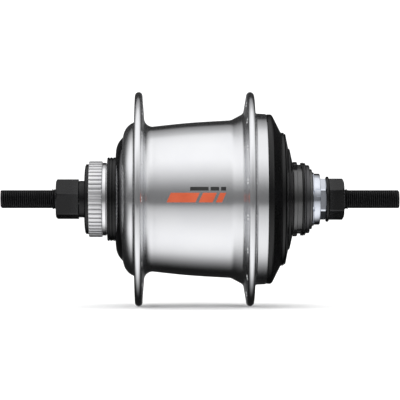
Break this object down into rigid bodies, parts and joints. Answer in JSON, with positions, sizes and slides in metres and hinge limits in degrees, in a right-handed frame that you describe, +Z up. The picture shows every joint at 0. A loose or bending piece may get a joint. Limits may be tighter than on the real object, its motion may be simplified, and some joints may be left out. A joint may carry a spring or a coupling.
{
  "type": "bicycle internal gear hub",
  "caption": "Rear bicycle hub with planetary gearing inside: flanged drum shell, splined brake-rotor mount, driver for a sprocket and a threaded axle.",
  "frame": {"origin": "on the axle's centre line, midway between the outer faces of the two locknuts", "axes": "+X along the axle towards the drive side, +Z up, +Y completes the right-handed frame"},
  "size_m": [0.187, 0.1004, 0.1004],
  "materials": {
    "shell_aluminium": "satin polished, fine turning marks round the barrel",
    "spline_aluminium": "bright machined",
    "axle_steel": "black oxide, rolled thread",
    "black_steel": "black oxide, satin",
    "zinc_steel": "blue zinc plate",
    "driver_steel": "dark phosphated steel",
    "black_plastic": "moulded, satin",
    "cage_plastic": "natural nylon",
    "gear_steel": "ground, case hardened",
    "carrier_steel": "turned and milled",
    "bearing_steel": "polished bearing steel",
    "spring_steel": "oiled spring steel",
    "bronze": "sintered bronze"
  },
  "bodies": {
    "root": {"axle": "axle_steel", "axle_circlip": "spring_steel", "left_cone": "bearing_steel", "left_spacer": "black_steel", "left_locknut": "black_steel", "right_cone": "bearing_steel", "right_stop_nut": "zinc_steel", "right_washer": "black_steel", "right_locknut": "black_steel", "sun_gear_c": "gear_steel", "sun_thrust_washer": "bronze", "sun_pawl_springs": "spring_steel", "return_spring": "spring_steel"},
    "sun_pawl_a": {"sun_pawl_a": "gear_steel"},
    "sun_pawl_b": {"sun_pawl_b": "gear_steel"},
    "sun_pawl_c": {"sun_pawl_c": "gear_steel"},
    "selector": {"shift_ring": "zinc_steel", "selector_sleeve": "spring_steel"},
    "shell": {"hub_shell": "shell_aluminium", "rotor_adapter": "spline_aluminium", "left_seal_ring": "black_plastic", "rotor_thread_cap": "black_plastic", "left_ball_cup": "bearing_steel", "clutch_race": "bearing_steel", "right_ball_cup": "bearing_steel", "right_cover": "black_plastic"},
    "driver": {"driver": "driver_steel", "sprocket_snap_ring": "black_steel", "driver_dust_cap": "black_plastic", "driver_end_cap": "driver_steel"},
    "clutch": {"clutch_ring": "gear_steel"},
    "carrier": {"planet_carrier": "carrier_steel", "carrier_end_plate": "carrier_steel", "planet_pins": "bearing_steel", "clutch_cam": "carrier_steel", "clutch_rollers": "bearing_steel", "roller_cage": "cage_plastic"},
    "planet_1": {"planet_gear_1": "gear_steel"},
    "planet_2": {"planet_gear_2": "gear_steel"},
    "planet_3": {"planet_gear_3": "gear_steel"},
    "ring": {"ring_gear": "gear_steel", "ring_pawl_springs": "spring_steel"},
    "ring_pawl_1": {"ring_pawl_1": "gear_steel"},
    "ring_pawl_2": {"ring_pawl_2": "gear_steel"},
    "ring_pawl_3": {"ring_pawl_3": "gear_steel"},
    "sun_a": {"sun_gear_a": "gear_steel"},
    "sun_b": {"sun_gear_b": "gear_steel"},
    "left_bearing": {"left_balls": "bearing_steel", "left_ball_cage": "cage_plastic"},
    "right_bearing": {"right_balls": "bearing_steel", "right_ball_cage": "cage_plastic"},
    "driver_bearing": {"driver_balls": "bearing_steel", "driver_ball_cage": "cage_plastic"}
  },
  "joints": [
    {"name": "shell_spin", "type": "hinge", "parent": "root", "child": "shell", "pos_m": [0, 0, 0], "axis": [1, 0, 0], "continuous": true},
    {"name": "ring_spin", "type": "hinge", "parent": "root", "child": "ring", "pos_m": [0, 0, 0], "axis": [1, 0, 0], "continuous": true},
    {"name": "carrier_spin", "type": "hinge", "parent": "root", "child": "carrier", "pos_m": [0, 0, 0], "axis": [1, 0, 0], "continuous": true},
    {"name": "driver_spin", "type": "hinge", "parent": "root", "child": "driver", "pos_m": [0, 0, 0], "axis": [1, 0, 0], "continuous": true},
    {"name": "sun_a_spin", "type": "hinge", "parent": "root", "child": "sun_a", "pos_m": [0, 0, 0], "axis": [1, 0, 0], "continuous": true},
    {"name": "sun_b_spin", "type": "hinge", "parent": "root", "child": "sun_b", "pos_m": [0, 0, 0], "axis": [1, 0, 0], "continuous": true},
    {"name": "left_bearing_spin", "type": "hinge", "parent": "root", "child": "left_bearing", "pos_m": [0, 0, 0], "axis": [1, 0, 0], "continuous": true},
    {"name": "right_bearing_spin", "type": "hinge", "parent": "root", "child": "right_bearing", "pos_m": [0, 0, 0], "axis": [1, 0, 0], "continuous": true},
    {"name": "driver_bearing_spin", "type": "hinge", "parent": "root", "child": "driver_bearing", "pos_m": [0, 0, 0], "axis": [1, 0, 0], "continuous": true},
    {"name": "planet_1_spin", "type": "hinge", "parent": "carrier", "child": "planet_1", "pos_m": [-0.01, 0, 0.018], "axis": [1, 0, 0], "continuous": true},
    {"name": "planet_2_spin", "type": "hinge", "parent": "carrier", "child": "planet_2", "pos_m": [-0.01, -0.01559, -0.009], "axis": [1, 0, 0], "continuous": true},
    {"name": "planet_3_spin", "type": "hinge", "parent": "carrier", "child": "planet_3", "pos_m": [-0.01, 0.01559, -0.009], "axis": [1, 0, 0], "continuous": true},
    {"name": "sun_pawl_a_lift", "type": "hinge", "parent": "root", "child": "sun_pawl_a", "pos_m": [-0.01805, 0.0018, 0.0037], "axis": [1, 0, 0], "range_deg": [-12, 0]},
    {"name": "sun_pawl_b_lift", "type": "hinge", "parent": "root", "child": "sun_pawl_b", "pos_m": [-0.01105, -0.0041, -0.00029], "axis": [1, 0, 0], "range_deg": [-12, 0]},
    {"name": "sun_pawl_c_lift", "type": "hinge", "parent": "root", "child": "sun_pawl_c", "pos_m": [-0.00305, 0.0023, -0.00341], "axis": [1, 0, 0], "range_deg": [0, 25], "stiffness_Nm_per_rad": 0.002, "springref_deg": -20.05},
    {"name": "ring_pawl_1_lift", "type": "hinge", "parent": "ring", "child": "ring_pawl_1", "pos_m": [0.0116, -0.0035, 0.0272], "axis": [1, 0, 0], "range_deg": [-12, 0], "stiffness_Nm_per_rad": 0.004, "springref_deg": 20.05},
    {"name": "ring_pawl_2_lift", "type": "hinge", "parent": "ring", "child": "ring_pawl_2", "pos_m": [0.0116, -0.02181, -0.01663], "axis": [1, 0, 0], "range_deg": [-12, 0]},
    {"name": "ring_pawl_3_lift", "type": "hinge", "parent": "ring", "child": "ring_pawl_3", "pos_m": [0.0116, 0.02531, -0.01057], "axis": [1, 0, 0], "range_deg": [-12, 0]},
    {"name": "clutch_slide", "type": "slide", "parent": "driver", "child": "clutch", "axis": [1, 0, 0], "range_m": [0, 0.0052], "stiffness_N_per_m": 300, "springref_m": -0.004},
    {"name": "shift_turn", "type": "hinge", "parent": "root", "child": "selector", "pos_m": [0, 0, 0], "axis": [1, 0, 0], "range_deg": [0, 75], "stiffness_Nm_per_rad": 0.15, "springref_deg": -34.38}
  ],
  "couplings": [
    {"joint": "ring_spin", "follows": "shell_spin", "ratio": 1},
    {"joint": "carrier_spin", "follows": "shell_spin", "ratio": 0.66667},
    {"joint": "driver_spin", "follows": "shell_spin", "ratio": 0.66667},
    {"joint": "planet_1_spin", "follows": "shell_spin", "ratio": 1.3333},
    {"joint": "planet_2_spin", "follows": "shell_spin", "ratio": 1.3333},
    {"joint": "planet_3_spin", "follows": "shell_spin", "ratio": 1.3333},
    {"joint": "sun_a_spin", "follows": "shell_spin", "ratio": -0.85714},
    {"joint": "sun_b_spin", "follows": "shell_spin", "ratio": -0.22222},
    {"joint": "left_bearing_spin", "follows": "shell_spin", "ratio": 0.59},
    {"joint": "right_bearing_spin", "follows": "shell_spin", "ratio": 0.85},
    {"joint": "driver_bearing_spin", "follows": "shell_spin", "ratio": 0.38},
    {"joint": "ring_pawl_2_lift", "follows": "ring_pawl_1_lift", "ratio": 1},
    {"joint": "ring_pawl_3_lift", "follows": "ring_pawl_1_lift", "ratio": 1}
  ]
}
